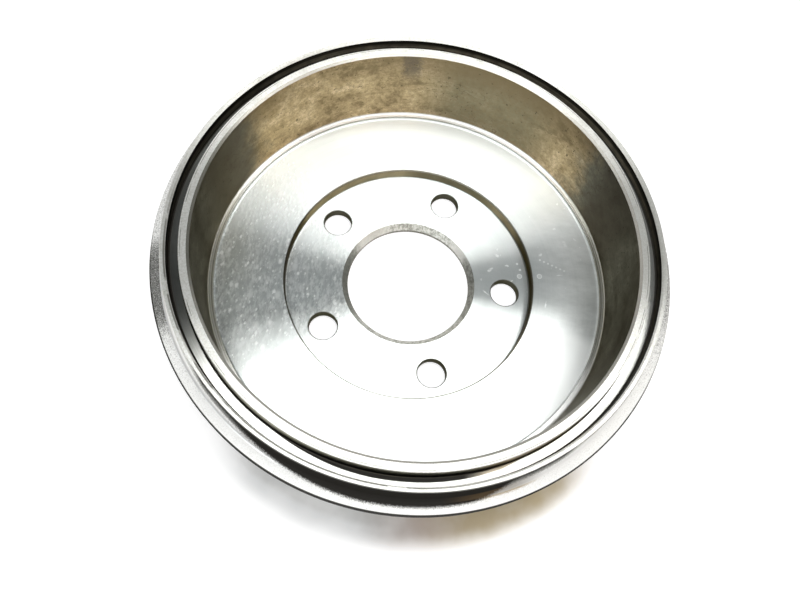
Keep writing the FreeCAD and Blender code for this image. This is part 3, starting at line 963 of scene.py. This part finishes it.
SHADE_INSIDE = (100.0, 112.0)
SHADE_OUTSIDE = (140.0, 155.0)


def floor_material():
    """Pale floor that reads white, in reflections too, with the drum's shadow painted on it by the near
    rim, warm at its right, over the shadow that the lamps cast.
    """
    paint = Paint("floor")
    # Painted shadow: under the near rim the floor's colour is darkened and tinted, and its glow for camera
    # and glossy rays is taken away.
    near = paint.step(paint.facing(-86), 0.60, 0.86)
    shaded = paint.step(paint.radius, *SHADE_OUTSIDE, 1.0, 0.0)
    shaded = paint.times(shaded, paint.step(paint.radius, *SHADE_INSIDE))
    warm = paint.step(paint.facing(-62), 0.80, 0.97)
    cloud = paint.noise(paint.place, 0.045, 3.0, 0.6)
    mottle = paint.calc("MULTIPLY_ADD", paint.step(cloud, 0.30, 0.70), 0.22, 0.82)
    depth = paint.calc("MULTIPLY_ADD", warm, 0.42, 0.62)
    shade = paint.times(near, shaded, depth, mottle)
    contact = paint.times(paint.side(-112, 16, 18), paint.step(paint.radius, 136.0, 140.5, 1.0, 0.0))
    cool = paint.blend(contact, colour(0.80, 0.82, 0.83), colour(0.50, 0.51, 0.50))
    pink, olive = colour(0.66, 0.56, 0.50), colour(0.62, 0.52, 0.35)
    brown = paint.blend(paint.side(-60, 10, 16), pink, olive)
    # Colour of the painted shadow: cool grey, darker by the contact, pink to olive brown towards the right.
    stain_and_shadow = paint.blend(warm, cool, brown)
    paint.join(paint.blend(shade, colour(0.82, 0.82, 0.82), stain_and_shadow), paint.shader.inputs["Base Color"])
    paint.shader.inputs["Roughness"].default_value = 0.9
    paint.shader.inputs["Specular IOR Level"].default_value = 0.0
    path = paint.node("ShaderNodeLightPath")
    seen = paint.calc("ADD", path.outputs["Is Camera Ray"], path.outputs["Is Glossy Ray"])
    seen = paint.calc("ADD", seen, path.outputs["Is Transmission Ray"], clamp=True)
    paint.join(colour(1.0, 1.0, 1.0), paint.shader.inputs["Emission Color"])
    glow = paint.times(seen, paint.step(shade, 0.0, 1.0, FLOOR_GLOW, 0.0))
    paint.join(glow, paint.shader.inputs["Emission Strength"])
    return paint.material


def build_floor():
    """Round floor, a hair under the drum, that curves up into a low backdrop."""
    points = [(0.0, 0.0), (FLOOR_RADIUS, 0.0)]
    for step in range(1, FLOOR_CURVE_STEPS + 1):
        turn = math.radians(90) * step / FLOOR_CURVE_STEPS
        points.append((FLOOR_RADIUS + FLOOR_RISE * math.sin(turn), FLOOR_RISE * (1 - math.cos(turn))))
    places, faces = [], []
    for radius, height in points:
        for step in range(FLOOR_SIDES):
            turn = math.tau * step / FLOOR_SIDES
            places.append((radius * math.cos(turn), radius * math.sin(turn), height - FLOOR_DROP))
    for ring in range(len(points) - 1):
        low, high = ring * FLOOR_SIDES, (ring + 1) * FLOOR_SIDES
        for step in range(FLOOR_SIDES):
            after = (step + 1) % FLOOR_SIDES
            faces.append((low + step, high + step, high + after, low + after))
    mesh = bpy.data.meshes.new("floor")
    mesh.from_pydata(places, [], faces)
    mesh.polygons.foreach_set("use_smooth", [True] * len(mesh.polygons))
    mesh.materials.append(floor_material())
    thing = bpy.data.objects.new("floor", mesh)
    bpy.context.scene.collection.objects.link(thing)
    return thing


build_floor()


def softbox(name, centre, size, turn, radiance, tint):
    """Level rectangular lamp over the drum, turned about the vertical and of the given brightness."""
    lamp = bpy.data.lights.new(name, "AREA")
    lamp.shape = "RECTANGLE"
    lamp.size, lamp.size_y = size
    lamp.energy = radiance * math.pi * size[0] * size[1]
    lamp.color = tint
    thing = bpy.data.objects.new(name, lamp)
    thing.location = centre
    thing.rotation_euler = (0.0, 0.0, turn)
    thing.visible_camera = False
    bpy.context.scene.collection.objects.link(thing)
    return thing


# The two lamps: centre, size, turn, radiance and tint

OVERHEAD_LAMP = ((0.15, 0.20, 1.2), (1.25, 0.44), math.radians(10), 5.9, (1.0, 1.0, 1.0))
FRONT_LAMP = ((-0.08, -0.62, 1.15), (1.5, 0.7), 0.0, 2.4, (0.95, 0.98, 1.0))

softbox("overhead", *OVERHEAD_LAMP)
softbox("front", *FRONT_LAMP)

ROOM_STRENGTH = 0.28
WARM_SIDE = (0.72, -0.62, 0.30)


def room():
    """Even light from all round, a little cool, and warm from the near right."""
    world = bpy.data.worlds.new("room")
    world.use_nodes = True
    tree = world.node_tree
    background = tree.nodes["Background"]
    direction = tree.nodes.new("ShaderNodeTexCoord")
    toward = tree.nodes.new("ShaderNodeVectorMath")
    toward.operation = "DOT_PRODUCT"
    toward.inputs[1].default_value = WARM_SIDE
    tree.links.new(direction.outputs["Generated"], toward.inputs[0])
    ramp = tree.nodes.new("ShaderNodeValToRGB")
    ramp.color_ramp.elements[0].position = 0.3
    ramp.color_ramp.elements[0].color = colour(0.93, 0.97, 1.0)
    ramp.color_ramp.elements[1].position = 0.85
    ramp.color_ramp.elements[1].color = colour(1.0, 0.74, 0.50)
    tree.links.new(toward.outputs["Value"], ramp.inputs["Fac"])
    tree.links.new(ramp.outputs["Color"], background.inputs["Color"])
    background.inputs["Strength"].default_value = ROOM_STRENGTH
    return world


bpy.context.scene.world = room()
bpy.context.scene.view_settings.view_transform = "Standard"

# Camera

SENSOR = 36.0
FOCAL_PIXELS = 676.95
PICTURE_WIDTH = 800
CAMERA_DISTANCE = 0.39039
CAMERA_AZIMUTH = math.radians(-6.484)
CAMERA_ELEVATION = math.radians(64.653)
CAMERA_PAN = math.radians(0.386)
CAMERA_TILT = math.radians(-2.311)
CAMERA_ROLL = math.radians(12.580)
CAMERA_TARGET = Vector((0.0, 0.0, 0.01578))


def place_camera():
    """Camera on an arm from the target, turned a little off it and rolled, as the photograph was taken."""
    lens = bpy.data.cameras.new("camera")
    lens.sensor_width = SENSOR
    lens.lens = FOCAL_PIXELS / PICTURE_WIDTH * SENSOR
    lens.clip_start = 0.01
    camera = bpy.data.objects.new("camera", lens)
    arm = Matrix.Rotation(CAMERA_AZIMUTH, 4, "Z") @ Matrix.Rotation(math.pi / 2 - CAMERA_ELEVATION, 4, "X")
    turned = Matrix.Rotation(CAMERA_PAN, 4, "Y") @ Matrix.Rotation(CAMERA_TILT, 4, "X")
    turned = turned @ Matrix.Rotation(CAMERA_ROLL, 4, "Z")
    reach = Matrix.Translation((0.0, 0.0, CAMERA_DISTANCE))
    camera.matrix_world = Matrix.Translation(CAMERA_TARGET) @ arm @ reach @ turned
    bpy.context.scene.collection.objects.link(camera)
    bpy.context.scene.camera = camera


place_camera()
